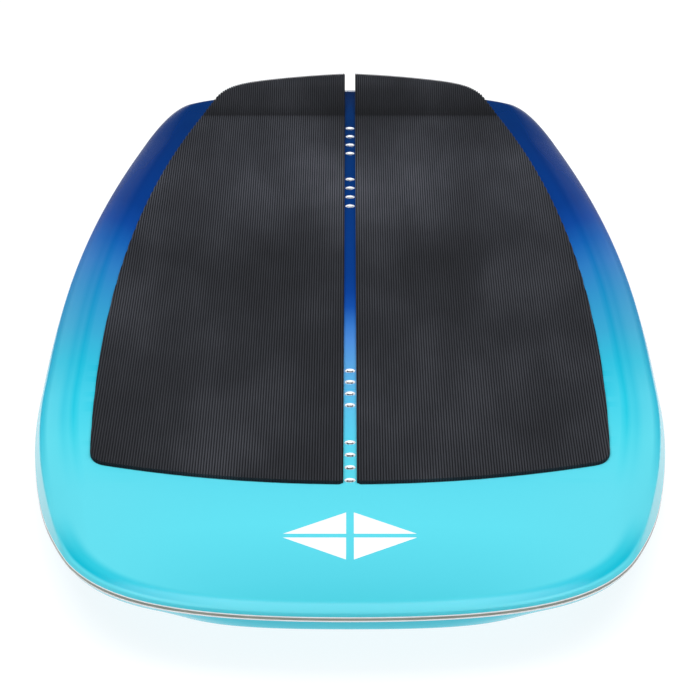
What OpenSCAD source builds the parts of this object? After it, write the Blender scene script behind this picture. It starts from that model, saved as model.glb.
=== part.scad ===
// Kite foil board: sandwich hull with a rail strip, two ribbed EVA deck pads over kick wedges,
// strap inserts along the centre line, twin foil tracks with sliding nuts, and a pressure vent.
// Nose towards -Y, tail towards +Y, flat bottom on z = 0.

/* [Board] */
// Length from nose to tail
board_l = 1220; // [1000:5:1500]
// Greatest width
board_w = 495; // [400:5:620]
// Height of the deck over the flat bottom at the middle of the rocker
board_t = 46; // [42:1:60]
// Radius of the deck's rocker curve
rocker_r = 35000; // [20000:1000:80000]
// Distance of the rocker's lowest point behind the board's middle
rocker_y = 82; // [0:1:150]
// Height that the bottom rises at the nose
nose_lift = 33; // [20:1:36]
// Length over which the bottom rises at the nose
nose_lift_l = 380; // [250:5:450]
// Height that the bottom rises at the tail
tail_lift = 5; // [0.5:0.5:10]
// Length over which the bottom rises at the tail
tail_lift_l = 140; // [80:5:200]

/* [Outline] */
// Distance from the nose back to the nose corner
nose_corner_y = 92.5; // [85:0.5:105]
// Distance from the widest line in to the nose corner
nose_corner_x = 49; // [42:0.5:56]
// Direction of the outline at the nose corner, from straight across
nose_corner_a = 66; // [62:0.2:70]
// Distance from the nose back to the widest place
widest_y = 435; // [380:1:480]
// Distance from the tail forward to the tail shoulder
shoulder_y = 151.5; // [140:0.5:180]
// Distance from the widest line in to the tail shoulder
shoulder_x = 48; // [35:0.5:60]
// Direction of the outline at the shoulder, from straight back
shoulder_a = 10.5; // [6:0.1:16]
// Distance from the tail forward to the tail corner
tail_corner_y = 42.5; // [30:0.5:55]
// Distance from the widest line in to the tail corner
tail_corner_x = 85.5; // [75:0.5:100]
// Direction of the outline at the tail corner, from straight across
tail_corner_a = 38.4; // [28:0.2:45]

/* [Rail] */
// Width of the bevel between the flat deck and the rail, at the sides
bevel_w = 28; // [20:0.5:36]
// Drop of the bevel at the sides
bevel_drop = 8; // [5:0.5:10]
// Width of the steep facet outside the bevel
facet_w = 3.6; // [2:0.2:6]
// Height of the steep facet at the sides
facet_h = 12; // [8:0.5:14]
// Height of the rail strip
rail_h = 3.6; // [3:0.1:6]
// Depth of the rail strip into the board
rail_depth = 8; // [6:0.5:12]
// Width of the tucked lower rail
tuck_w = 12; // [8:0.5:16]
// Height of the lower chine over the bottom at the sides
chine_h = 9; // [6:0.5:11]
// Width of the chine panel outside the flat bottom
chine_w = 28; // [20:1:40]

/* [Skins and core] */
// Thickness of the deck skin and the bottom skin
skin_t = 2; // [1.5:0.1:2.2]
// Thickness of the centre stringer
stringer_w = 6; // [4:0.5:10]

/* [Deck pads] */
// Thickness of the ribbed pad sheet
pad_t = 3; // [2:0.5:6]
// Gap between the pads along the centre line
pad_gap = 10; // [9:0.5:16]
// Distance from the nose back to the pads' front edge
pad_front = 224; // [180:1:300]
// Radius of the pads' front edge
pad_front_r = 465; // [400:5:700]
// Distance from the widest line in to the pads' outer edge near the front
pad_side = 50.5; // [45:0.5:70]
// Distance from the widest line in to the pads' outer edge at the kick
pad_kick_side = 106.5; // [100:0.5:120]
// Length of the kick, from its crease to the tail
kick_l = 86; // [85:1:120]
// Gap between the kick and the tail
kick_back = 10; // [9.5:0.5:20]
// Thickness of the kick wedge at its back
kick_h = 15; // [8:0.5:25]
// Radius of the kick's rear edge in plan
kick_rear_r = 340; // [280:2:450]

/* [Strap inserts] */
// Distance between neighbouring inserts of a group
insert_pitch = 25; // [22:0.5:30]
// Outer diameter of an insert
insert_d = 8.4; // [7.6:0.1:8.8]
// Diameter of the M6 thread's core in an insert
insert_hole_d = 5; // [4.2:0.1:5.4]
// Length of an insert
insert_l = 18; // [12:0.5:20]
// Distance from the tail forward to the rearmost insert
insert_back = 128; // [120:1:140]
// Distance between the rear strap's two groups
rear_strap_step = 150; // [145:0.5:165]
// Distance from the rearmost insert forward to the front strap's rear group
front_strap_way = 632.5; // [600:2.5:645]
// Distance between the front strap's two groups
front_strap_step = 152.5; // [145:0.5:165]
// Width of the dense block around a group of inserts
block_w = 30; // [20:1:36]
// Depth of the dense block under the deck skin
block_h = 22; // [21:0.5:23]
// Distance from the end insert to the end of its block
block_end = 15; // [10:0.5:16]

/* [Foil tracks] */
// Distance between the two tracks
track_gauge = 90; // [86:1:120]
// Distance between the front and rear nuts at rest
nut_pitch = 165; // [140:1:180]
// Distance from the tail forward to the tracks' middle
track_back = 420; // [400:5:450]
// Length of a track
track_l = 304; // [300:1:330]
// Outer width of a track
track_w = 26; // [25:0.5:30]
// Depth of a track
track_h = 21; // [20:0.5:22]
// Width of the slot between the track's lips
slot_w = 9.5; // [9:0.1:11]
// Thickness of the track's lips
lip_h = 6; // [5:0.5:7]
// Width of the cavity over the lips
cavity_w = 19.5; // [17:0.5:21]
// Height of the cavity over the lips
cavity_h = 10; // [9:0.5:10.5]
// Thickness of the track's end walls
track_end = 8; // [6:0.5:10]
// Clearance between a nut and its track, all round
nut_clear = 0.4; // [0.3:0.05:0.6]
// Length of a nut
nut_l = 24; // [18:0.5:28]
// Thickness of a nut's head
nut_h = 7; // [5:0.5:8]
// Diameter of the M8 thread's core in a nut
nut_hole_d = 6.8; // [6:0.1:7]
// Wall of dense foam around a track
track_block_wall = 9; // [6:0.5:10]
// Dense foam over a track
track_block_roof = 6; // [4:0.5:8]
// How far the bottom's track plate reaches past the tracks
plate_margin = 20; // [14:1:22]

/* [Vent] */
// Distance from the tail forward to the vent
vent_back = 640; // [600:5:700]
// Outer diameter of the vent housing
vent_d = 26; // [24:0.5:32]
// Height of the vent housing
vent_h = 17; // [16:0.5:18]
// Diameter of the vent's cap
vent_cap_d = 17.4; // [17:0.1:18.5]
// Diameter of the threaded stem of the cap
vent_stem_d = 11.6; // [11:0.1:12]
// Diameter of the air holes
vent_air_d = 3; // [2:0.2:4]
// Gap round the cap and its stem
vent_gap = 0.2; // [0.1:0.05:0.4]

/* [Hidden] */

$fn = 48;
far = 2000;                     // larger than the board, for cutting blocks
nose_y = -board_l / 2;
tail_y = board_l / 2;
half_w = board_w / 2;

// ---- Heights of deck and bottom along the board ----

function deck_z(y) = board_t + pow(y - rocker_y, 2) / (2 * rocker_r);
function past(a) = max(0, a);
function bottom_z(y) =
  nose_lift * pow(past(nose_y + nose_lift_l - y) / nose_lift_l, 2)
  + tail_lift * pow(past(y - tail_y + tail_lift_l) / tail_lift_l, 2);

// ---- Outline: cubic curves from the nose round the right side to the tail ----

function bez(a, b, c, d, t) =
  pow(1 - t, 3) * a + 3 * pow(1 - t, 2) * t * b + 3 * (1 - t) * t * t * c + pow(t, 3) * d;
function stretch(a, b, c, d, n) = [for (i = [0 : n - 1]) bez(a, b, c, d, i / n)];

// Points of each stretch
nose_n = 18;
front_n = 22;
back_n = 18;
corner_n = 16;
tail_n = 11;

nose_mid = [0, nose_y];
nose_corner = [half_w - nose_corner_x, nose_y + nose_corner_y];
nose_dir = [cos(nose_corner_a), sin(nose_corner_a)];
widest = [half_w, nose_y + widest_y];
shoulder = [half_w - shoulder_x, tail_y - shoulder_y];
shoulder_dir = [-sin(shoulder_a), cos(shoulder_a)];
tail_corner = [half_w - tail_corner_x, tail_y - tail_corner_y];
tail_dir = [-cos(tail_corner_a), sin(tail_corner_a)];
tail_mid = [0, tail_y];
side_l = shoulder[1] - widest[1];
// Lengths of the curves' handles, as millimetres at the rounded places and as shares elsewhere
nose_flat = 0.59;               // straightness across the nose
nose_round = [72, 37.5];        // before and after the nose corner
side_front = 159;               // ahead of the widest place
side_back = [0.22, 0.462];      // behind it, and ahead of the shoulder
shoulder_round = 33;            // behind the shoulder
tail_round = [21, 42.5];        // before and after the tail corner
tail_flat = 0.203;              // straightness across the tail
half_outline = concat(
  stretch(nose_mid, nose_mid + [nose_corner[0] * nose_flat, 0],
          nose_corner - nose_round[0] * nose_dir, nose_corner, nose_n),
  stretch(nose_corner, nose_corner + nose_round[1] * nose_dir, widest - [0, side_front],
          widest, front_n),
  stretch(widest, widest + [0, side_l * side_back[0]],
          shoulder - side_l * side_back[1] * shoulder_dir, shoulder, back_n),
  stretch(shoulder, shoulder + shoulder_round * shoulder_dir,
          tail_corner - tail_round[0] * tail_dir, tail_corner, corner_n),
  stretch(tail_corner, tail_corner + tail_round[1] * tail_dir,
          tail_mid + [tail_corner[0] * tail_flat, 0], tail_mid, tail_n),
  [tail_mid]
);
last = len(half_outline) - 1;

function flip(p) = [-p[0], p[1]];
function around(i) = i < 0 ? flip(half_outline[-i])
  : i > last ? flip(half_outline[2 * last - i]) : half_outline[i];
function unit(v) = v / norm(v);
// Inward direction: square to the mean direction of the two segments that meet at point i
function inward(i) =
  let (t = unit(unit(around(i + 1) - around(i)) + unit(around(i) - around(i - 1))))
  [-t[1], t[0]];

// ---- Rings: the outline moved inward, at a height ----

function ease(t) = let (c = max(0, min(1, t))) c * c * (3 - 2 * c);
nose_blend_l = 242;             // length over which the side section turns into the nose's
tail_blend_l = 168;             // the same at the tail
facet_fade_l = 150;             // length over which the steep facet runs out to the nose
function at_nose(y) = ease((nose_y + nose_blend_l - y) / nose_blend_l);
function at_tail(y) = ease((y - tail_y + tail_blend_l) / tail_blend_l);
function mix3(side, nose, tail, y) =
  side + (nose - side) * at_nose(y) + (tail - side) * at_tail(y);

nose_drop = 4;                  // the bevel's drop at the nose
tail_drop = 2.5;                // the same at the tail
nose_facet_h = 2.2;             // the steep facet's height at the nose
nose_facet_w = 1.2;             // and its width
nose_bevel_w = 12;              // the bevel's width at the nose
tail_bevel_w = 9;               // the same at the tail
nose_tuck_w = 26;               // the lower rail's tuck at the nose's corners
nose_front_tuck = 6;            // the same across the nose
nose_front_l = 26;              // length over which the one turns into the other
nose_chine_h = 2;               // the chine's height at the nose
nose_panel_in = 34;             // the bottom panel's inset at the nose
tail_panel_in = 18;             // the same at the tail
function drop(y) = mix3(bevel_drop, nose_drop, tail_drop, y);
function facet(y) = facet_h
  + (nose_facet_h - facet_h) * ease((nose_y + nose_blend_l - y) / facet_fade_l);
function edge_in(y) = mix3(facet_w, nose_facet_w, facet_w, y);
function crease_in(y) = mix3(bevel_w, nose_bevel_w, tail_bevel_w, y);
function chine_in(y) = mix3(tuck_w, nose_tuck_w, tuck_w, y)
  - (nose_tuck_w - nose_front_tuck) * ease((nose_y + nose_front_l - y) / nose_front_l);
function panel_in(y) = mix3(tuck_w + chine_w, nose_panel_in, tail_panel_in, y);
function chine_z(y) = mix3(chine_h, nose_chine_h, chine_h, y);
function rail_z(y) = deck_z(y) - drop(y) - facet(y);

// Rings of the outer surface, numbered from the deck's crease down to the bottom panel, as
// [inset, height]; p is the outline point and q the moved one.
CREASE = 0;
BEVEL = 1;
EDGE = 2;
RAIL_TOP = 3;
RAIL_LOW = 4;
TUCK = 5;
CHINE = 6;
PANEL = 7;
bevel_at = [0.35, 0.52];        // the bevel's mid ring, as shares of its width and its drop
tuck_at = [0.3, 0.45];          // the tuck's mid ring, as shares of its width and its height
function inset(k, y) =
  k == CREASE ? crease_in(y)
  : k == BEVEL ? edge_in(y) + bevel_at[0] * (crease_in(y) - edge_in(y))
  : k == EDGE ? edge_in(y)
  : k == TUCK ? tuck_at[0] * chine_in(y)
  : k == CHINE ? chine_in(y)
  : k == PANEL ? panel_in(y)
  : 0;
function height(k, y, q) =
  k == CREASE ? deck_z(q[1])
  : k == BEVEL ? deck_z(q[1]) - bevel_at[1] * drop(y)
  : k == EDGE ? deck_z(y) - drop(y)
  : k == RAIL_TOP ? rail_z(y)
  : k == RAIL_LOW ? rail_z(y) - rail_h
  : k == TUCK ? (1 - tuck_at[1]) * (rail_z(y) - rail_h) + tuck_at[1] * (bottom_z(q[1]) + chine_z(y))
  : k == CHINE ? bottom_z(q[1]) + chine_z(y)
  : bottom_z(q[1]);

// The skin's inner face: each ring's share of the thickness inward and up
skin_dir = [[0, -1], [0.25, -1], [0.8, -0.8], [1, 0], [1, 0], [0.95, 0.3], [0.45, 0.9], [0, 1]];
function skin_in(k) = skin_t * skin_dir[k][0];
function skin_up(k) = skin_t * skin_dir[k][1];

function closed(half) = concat(half, [for (i = [last - 1 : -1 : 1]) let (p = half[i])
  [-p[0], p[1], p[2]]]);
function ring(k, more = 0, up = 0) = closed([for (i = [0 : last])
  let (p = half_outline[i], q = p + (inset(k, p[1]) + more) * inward(i))
  [i == 0 || i == last ? 0 : q[0], q[1], height(k, p[1], q) + up]]);
function inner(k) = ring(k, skin_in(k), skin_up(k));

deck_ring = ring(CREASE);
core_deck_ring = inner(CREASE);
rail_top_in = ring(RAIL_TOP, rail_depth);
rail_low_in = ring(RAIL_LOW, rail_depth);

// ---- Solids from rings ----

ring_n = 2 * last;
// Faces between rings a and b, the same on both sides of the board; back says that b is the
// ring nearer the deck's crease, so that a skin and the core it lies on share their edges
function band(a, b, back = false) = [for (i = [0 : ring_n - 1], half = [0, 1])
  let (j = (i + 1) % ring_n)
  (i < last) != back
    ? (half == 0 ? [a + i, a + j, b + j] : [a + i, b + j, b + i])
    : (half == 0 ? [a + i, a + j, b + i] : [a + j, b + j, b + i])];
// A cap of strips from side to side
function cap(a, up) = [for (i = [0 : last - 1], half = [0, 1])
  let (l = (ring_n - i) % ring_n, m = ring_n - i - 1,
       f = half == 0 ? [a + i, a + i + 1, a + m] : [a + i, a + m, a + l])
  if (f[0] != f[2] && f[1] != f[2]) up ? [f[2], f[1], f[0]] : f];

// A chain of rings from a cap that faces up to a cap that faces down; back lists the bands that
// run towards the deck's crease
module capped(rings, back) {
  n = len(rings);
  polyhedron(
    points = [for (r = rings) each r],
    faces = concat(
      cap(0, true),
      [for (k = [0 : n - 2])
        each band(k * ring_n, (k + 1) * ring_n, len(search(k, back)) > 0)],
      cap((n - 1) * ring_n, false)
    ),
    convexity = 6
  );
}

// A chain of rings that closes on itself
module looped(rings) {
  n = len(rings);
  polyhedron(
    points = [for (r = rings) each r],
    faces = [for (k = [0 : n - 1]) each band(k * ring_n, ((k + 1) % n) * ring_n)],
    convexity = 6
  );
}

// Everything below the deck face, moved up by lift; knots is the ring that bounds that face
module below_deck(knots, lift = 0) {
  line = [for (i = [0 : last]) [knots[i][1], knots[i][2] + lift]];
  rotate([90, 0, 90])
    linear_extrude(height = far, center = true)
      polygon(concat([[-far, -far]], [[-far, line[0][1]]], line,
                     [[far, line[last][1]], [far, -far]]));
}

// ---- Core: two halves that meet the stringer on flat walls ----

core_rings = [
  core_deck_ring, inner(BEVEL), inner(EDGE), inner(RAIL_TOP), rail_top_in,
  rail_low_in, inner(RAIL_LOW), inner(TUCK), inner(CHINE), inner(PANEL)
];
wall_x = stringer_w / 2;
// The point of the segment from a, on the centre line, to b that lies on the wall
function on_wall(a, b) = a + (b - a) * wall_x / b[0];
function right_half(r) = concat([on_wall(r[0], r[1])], [for (i = [1 : last - 1]) r[i]],
                                [on_wall(r[last], r[last - 1])]);
half_rings = [for (r = core_rings) right_half(r)];
half_n = last + 1;
rings_n = len(core_rings);
deck_wall = rings_n * half_n - 1;                // deck_wall + i is the wall's point i, i > 0
bottom_wall = deck_wall + last - 1;
function wall_line(r) = [for (i = [1 : last - 1]) [wall_x, r[i][1], r[i][2]]];
function deck_at(i) = i == 0 ? 0 : i == last ? last : deck_wall + i;
function bottom_at(i) = let (a = (rings_n - 1) * half_n)
  i == 0 ? a : i == last ? a + last : bottom_wall + i;

// The profile at one end of the wall, as triangles; e is 0 at the nose and last at the tail
function end_faces(e) = let (r = [for (k = [0 : rings_n - 1]) k * half_n + e])
  [for (f = [[4, 3, 2], [4, 2, 1], [4, 1, 0], [0, 9, 5], [0, 5, 4], [5, 9, 8], [5, 8, 7],
             [5, 7, 6]])
    [r[f[0]], r[f[1]], r[f[2]]]];
function turned(faces) = [for (f = faces) [f[2], f[1], f[0]]];
// Strips between two rows of points, given as lists of numbers
function strip(a, b) = [for (i = [0 : len(a) - 2], half = [0, 1])
  let (f = half == 0 ? [a[i], a[i + 1], b[i + 1]] : [a[i], b[i + 1], b[i]])
  if (f[0] != f[1] && f[1] != f[2] && f[0] != f[2]) f];
function row(k) = [for (i = [0 : last]) k * half_n + i];

module half_core() {
  deck_row = [for (i = [0 : last]) deck_at(i)];
  bottom_row = [for (i = [0 : last]) bottom_at(i)];
  polyhedron(
    points = concat([for (r = half_rings) each r], wall_line(half_rings[0]),
                    wall_line(half_rings[rings_n - 1])),
    faces = concat(
      [for (k = [0 : rings_n - 2]) each strip(row(k), row(k + 1))],
      strip(deck_row, row(0)),
      strip(row(rings_n - 1), bottom_row),
      strip(bottom_row, deck_row),
      end_faces(0),
      turned(end_faces(last))
    ),
    convexity = 6
  );
}

// The wall's outline, seen from the side
wall_profile = concat(
  [for (i = [0 : last]) half_rings[0][i]],
  [for (k = [1 : rings_n - 2]) half_rings[k][last]],
  [for (i = [last : -1 : 0]) half_rings[rings_n - 1][i]],
  [for (k = [rings_n - 2 : -1 : 1]) half_rings[k][0]]
);

// ---- Places of the fittings ----

insert_y0 = tail_y - insert_back;
// From the rearmost insert of all forward to each group's own rearmost one, for the rear
// strap's rear and front groups and the front strap's rear and front groups
group_steps = [0, rear_strap_step, front_strap_way, front_strap_way + front_strap_step];
function group_back(g) = insert_y0 - group_steps[g];
inserts_n = 4;
function insert_y(g, i) = group_back(g) - i * insert_pitch;

track_y = tail_y - track_back;
nut_drop = 1;                   // the nut's neck stops this far above the bottom
neck_r = nut_hole_d / 2;
vent_y = tail_y - vent_back;
vent_floor = 6;                 // the cap's seat, above the bottom
vent_disc_z = 1;                // the cap's face, above the bottom
ring_t = 1.8;                   // thickness of the o-ring
membrane_t = 0.4;
stem_top = 11;

// ---- Hull ----

module insert_holes(g, d) {
  for (i = [0 : inserts_n - 1])
    translate([0, insert_y(g, i), deck_z(insert_y(g, i)) - insert_l])
      cylinder(d = d, h = insert_l + 5);
}

module deck_skin() color("#45c8e6")
  difference() {
    capped([
      deck_ring, ring(BEVEL), ring(EDGE), ring(RAIL_TOP),
      inner(RAIL_TOP), inner(EDGE), inner(BEVEL), core_deck_ring
    ], [4, 5, 6]);
    for (g = [0 : 3]) insert_holes(g, insert_d);
  }

module bottom_skin() color("#3ebdce")
  difference() {
    capped([
      inner(PANEL), inner(CHINE), inner(TUCK), inner(RAIL_LOW),
      ring(RAIL_LOW), ring(TUCK), ring(CHINE), ring(PANEL)
    ], [0, 1, 2]);
    plate_box(1);
    translate([0, vent_y, -1]) cylinder(d = vent_d, h = skin_t + 2);
  }

module rail_strip() color("#8f958c")
  looped([ring(RAIL_TOP), rail_top_in, rail_low_in, ring(RAIL_LOW)]);

module foam_core(s) color("#f2efe4")
  difference() {
    mirror([s < 0 ? 1 : 0, 0, 0]) half_core();
    fittings();
  }

module centre_stringer() color("#c9a36a")
  difference() {
    rotate([90, 0, 90])
      linear_extrude(height = stringer_w, center = true)
        polygon([for (p = wall_profile) [p[1], p[2]]]);
    fittings();
  }

// What the core and the stringer make room for
module fittings() {
  for (g = [0 : 3]) block_box(g);
  for (s = [-1, 1]) track_block_box(s);
  translate([0, vent_y, -1]) cylinder(d = vent_d, h = vent_h + 1);
}

// ---- Strap inserts ----

// The block's space: a plain box that reaches over the deck
module block_box(g) {
  l = (inserts_n - 1) * insert_pitch + 2 * block_end;
  mid = (insert_y(g, 0) + insert_y(g, inserts_n - 1)) / 2;
  floor_z = deck_z(mid) - skin_t - block_h;
  translate([-block_w / 2, mid - l / 2, floor_z]) cube([block_w, l, 2 * block_h]);
}

module insert_block(g) color("#d9c27a")
  difference() {
    intersection() {
      block_box(g);
      below_deck(core_deck_ring);
    }
    insert_holes(g, insert_d);
  }

module inserts(g) color("#d8dce0")
  for (i = [0 : inserts_n - 1])
    translate([0, insert_y(g, i), deck_z(insert_y(g, i)) - insert_l])
      difference() {
        cylinder(d = insert_d, h = insert_l);
        translate([0, 0, -1]) cylinder(d = insert_hole_d, h = insert_l + 2);
      }

// ---- Foil tracks and nuts ----

module track_place(s) translate([s * track_gauge / 2, track_y, 0]) children();

// The track's outside, with round ends; sunk makes it reach below the bottom
module track_body(sunk = 0)
  translate([0, 0, -sunk]) {
    l = track_l - track_w;
    translate([-track_w / 2, -l / 2, 0]) cube([track_w, l, track_h + sunk]);
    for (e = [-1, 1]) translate([0, e * l / 2, 0]) cylinder(d = track_w, h = track_h + sunk);
  }

module foil_track(s) color("#3a3d40")
  track_place(s)
    difference() {
      track_body();
      inner_l = track_l - 2 * track_end;
      translate([-slot_w / 2, -inner_l / 2, -1]) cube([slot_w, inner_l, lip_h + 2]);
      translate([-cavity_w / 2, -inner_l / 2, lip_h]) cube([cavity_w, inner_l, cavity_h]);
    }

// The flat laminate plate that closes the bottom round the tracks; over makes it stand proud
module plate_box(over = 0) {
  w = track_gauge + track_w + 2 * plate_margin;
  l = track_l + 2 * plate_margin;
  translate([-w / 2, track_y - l / 2, -over]) cube([w, l, skin_t + 2 * over]);
}

module track_plate() color("#3ebdce")
  difference() {
    plate_box();
    for (s = [-1, 1]) track_place(s) track_body(1);
  }

module track_block_box(s)
  track_place(s)
    translate([-track_w / 2 - track_block_wall, -track_l / 2 - track_block_wall, skin_t])
      cube([track_w + 2 * track_block_wall, track_l + 2 * track_block_wall,
            track_h + track_block_roof - skin_t]);

module track_block(s) color("#d9c27a")
  difference() {
    track_block_box(s);
    track_place(s) track_body(1);
  }

// A slot nut: a head over the track's lips and a neck between them, with a thread through both
module slot_nut(s, e) color("#c8a850")
  track_place(s)
    translate([0, e * nut_pitch / 2, 0])
      difference() {
        head_w = cavity_w - 2 * nut_clear;
        neck_w = slot_w - 2 * nut_clear;
        union() {
          translate([-head_w / 2, -nut_l / 2, lip_h + nut_clear]) cube([head_w, nut_l, nut_h]);
          translate([-neck_w / 2, -nut_l / 2, nut_drop])
            cube([neck_w, nut_l, lip_h + nut_clear - nut_drop + 1]);
        }
        cylinder(r = neck_r, h = track_h);
      }

// ---- Deck pads and kick wedges ----

pad_in = pad_gap / 2;
pad_front_y = nose_y + pad_front;
pad_corner = 13;                // how far in the rounded outer front corner begins
pad_corner_l = 25;              // how far back it ends
pad_nick = 3;                   // size of the cut at the inner front corner
pad_corner_bow = [1.5, 4];      // how far the corner's curve bows
pad_arc_n = 14;                 // points of the front edge, the corner and the outer edge
pad_corner_n = 6;
pad_side_n = 24;
pad_side_a = 12.9;              // direction of the outer edge at the kick, from straight back
pad_side_bow = [0.31, 0.332];   // lengths of its curve's handles, as shares of its length
pad_swell = 12.5;               // how far the first handle stands out past the corner
pad_side_x = half_w - pad_side;
pad_corner_y = pad_front_y + pow(pad_side_x - pad_corner, 2) / (2 * pad_front_r);
kick_y = tail_y - kick_l;
kick_x = half_w - pad_kick_side;
kick_taper = 0.14;              // the kick narrows by this much for each unit of length
pad_side_y = pad_corner_y + pad_corner_l;
pad_run = kick_y - pad_side_y;

function pad_front_at(x) = pad_front_y + x * x / (2 * pad_front_r);
right_pad_outline = concat(
  [[pad_in, kick_y], [pad_in, pad_front_y + pad_nick], [pad_in + pad_nick, pad_front_y]],
  [for (i = [1 : pad_arc_n]) let (x = pad_in + (pad_side_x - pad_corner - pad_in) * i / pad_arc_n)
    [x, pad_front_at(x)]],
  [for (i = [1 : pad_corner_n - 1]) let (t = i / pad_corner_n)
    pow(1 - t, 2) * [pad_side_x - pad_corner, pad_corner_y]
    + 2 * t * (1 - t) * [pad_side_x - pad_corner_bow[0], pad_corner_y + pad_corner_bow[1]]
    + t * t * [pad_side_x, pad_side_y]],
  [for (i = [0 : pad_side_n])
    bez([pad_side_x, pad_side_y],
        [pad_side_x + pad_swell, pad_side_y + pad_side_bow[0] * pad_run],
        [kick_x, kick_y] + pad_side_bow[1] * pad_run * [sin(pad_side_a), -cos(pad_side_a)],
        [kick_x, kick_y], i / pad_side_n)]
);

// The kick's surface: u runs from the centre line outwards, v from the crease to the back
kick_nu = 16;
kick_nv = 8;
kick_lip = 0.6;                 // the wedge is never thinner than this
function kick_rear(x) = tail_y - kick_back - x * x / (2 * kick_rear_r);
function kick_xy(u, v) =
  let (x = pad_in + u * (kick_x - kick_taper * v * (kick_l - kick_back) - pad_in))
  [x, kick_y + v * (kick_rear(x) - kick_y)];
kick_bend = 1.15;               // 1 is a straight slope, more is hollow
kick_fall = 0.35;               // share of its height that it loses evenly on the way out
kick_round = 11;                // how late it loses the rest
kick_fine = 1.5;                // how much closer the points stand towards the outer edge
function kick_rise(u, v) = kick_lip + (kick_h - kick_lip) * pow(v, kick_bend)
  * (1 - kick_fall * u - (1 - kick_fall) * pow(u, kick_round));
function kick_points(lift, flat) = [for (i = [0 : kick_nu], j = [0 : kick_nv])
  let (u = 1 - pow(1 - i / kick_nu, kick_fine), v = j / kick_nv, p = kick_xy(u, v))
  [p[0], p[1], deck_z(p[1]) + lift + flat * kick_rise(u, v)]];

// A sheet between two such surfaces
module kick_sheet(low, low_flat, high) {
  n = (kick_nu + 1) * (kick_nv + 1);
  w = kick_nv + 1;
  cells = [for (i = [0 : kick_nu - 1], j = [0 : kick_nv - 1]) i * w + j];
  end_i = kick_nu * w;
  polyhedron(
    points = concat(kick_points(low, low_flat), kick_points(high, 1)),
    faces = concat(
      [for (c = cells) each [[c, c + w, c + w + 1], [c, c + w + 1, c + 1]]],
      [for (c = cells) each [[n + c, n + c + w + 1, n + c + w], [n + c, n + c + 1, n + c + w + 1]]],
      [for (j = [0 : kick_nv - 1]) each [[j, j + 1, n + j + 1], [j, n + j + 1, n + j]]],
      [for (j = [0 : kick_nv - 1]) let (a = end_i + j)
        each [[a + 1, a, n + a], [a + 1, n + a, n + a + 1]]],
      [for (i = [0 : kick_nu - 1]) let (a = i * w)
        each [[a + w, a, n + a], [a + w, n + a, n + a + w]]],
      [for (i = [0 : kick_nu - 1]) let (a = i * w + kick_nv)
        each [[a, a + w, n + a + w], [a, n + a + w, n + a]]]
    ),
    convexity = 4
  );
}

module deck_pad(s) color("#2e3033")
  mirror([s < 0 ? 1 : 0, 0, 0]) {
    difference() {
      intersection() {
        linear_extrude(height = far) polygon(right_pad_outline);
        below_deck(deck_ring, pad_t);
      }
      below_deck(deck_ring);
    }
    kick_sheet(0, 1, pad_t);
  }

module kick_wedge(s) color("#3b3c41")
  mirror([s < 0 ? 1 : 0, 0, 0])
    difference() {
      kick_sheet(-pad_t, 0, 0);
      below_deck(deck_ring);
    }

// ---- Vent ----

module at_vent() translate([0, vent_y, 0]) children();

module vent_housing() color("#2b2d30")
  at_vent()
    difference() {
      cylinder(d = vent_d, h = vent_h);
      translate([0, 0, -1]) cylinder(d = vent_cap_d + 2 * vent_gap, h = vent_floor + 1);
      translate([0, 0, vent_floor - 1])
        cylinder(d = vent_stem_d + 2 * vent_gap, h = stem_top + membrane_t - vent_floor + 1);
      cylinder(d = vent_air_d, h = vent_h + 1);
    }

module vent_membrane() color("#f4f4f2")
  at_vent() translate([0, 0, stem_top]) cylinder(d = vent_stem_d, h = membrane_t);

module vent_o_ring() color("#1c1d1f")
  at_vent()
    translate([0, 0, vent_floor - ring_t / 2])
      rotate_extrude() translate([(vent_stem_d + ring_t) / 2 + vent_gap, 0]) circle(d = ring_t);

module vent_cap() color("#3c3f43")
  at_vent()
    difference() {
      union() {
        translate([0, 0, vent_disc_z])
          cylinder(d = vent_cap_d, h = vent_floor - ring_t - vent_disc_z);
        translate([0, 0, vent_floor - ring_t - 1])
          cylinder(d = vent_stem_d, h = stem_top - vent_floor + ring_t + 1);
      }
      cylinder(d = vent_air_d, h = vent_h);
      slot_l = 0.8 * vent_cap_d;
      translate([-slot_l / 2, -1, 0]) cube([slot_l, 2, vent_disc_z + 1.2]);
    }

deck_skin();
bottom_skin();
rail_strip();
foam_core(-1);  // left_foam_core
foam_core(1);  // right_foam_core
centre_stringer();
track_block(-1);  // left_track_block
track_block(1);  // right_track_block
foil_track(-1);  // left_foil_track
foil_track(1);  // right_foil_track
track_plate();
slot_nut(-1, -1);  // front_left_nut
slot_nut(1, -1);  // front_right_nut
slot_nut(-1, 1);  // rear_left_nut
slot_nut(1, 1);  // rear_right_nut
insert_block(3);  // front_strap_front_block
insert_block(2);  // front_strap_rear_block
insert_block(1);  // rear_strap_front_block
insert_block(0);  // rear_strap_rear_block
inserts(3);  // front_strap_front_inserts
inserts(2);  // front_strap_rear_inserts
inserts(1);  // rear_strap_front_inserts
inserts(0);  // rear_strap_rear_inserts
deck_pad(-1);  // left_deck_pad
deck_pad(1);  // right_deck_pad
kick_wedge(-1);  // left_kick_wedge
kick_wedge(1);  // right_kick_wedge
vent_housing();
vent_membrane();
vent_o_ring();
vent_cap();
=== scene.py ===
"""Kite foil board: lacquered hull, ribbed deck pads, strap inserts, foil tracks and vent."""

import math

import bmesh
import bpy
from bpy.props import FloatProperty, FloatVectorProperty, IntProperty, PointerProperty
from mathutils import Matrix, Vector
from mathutils.geometry import convex_hull_2d, interpolate_bezier


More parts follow.
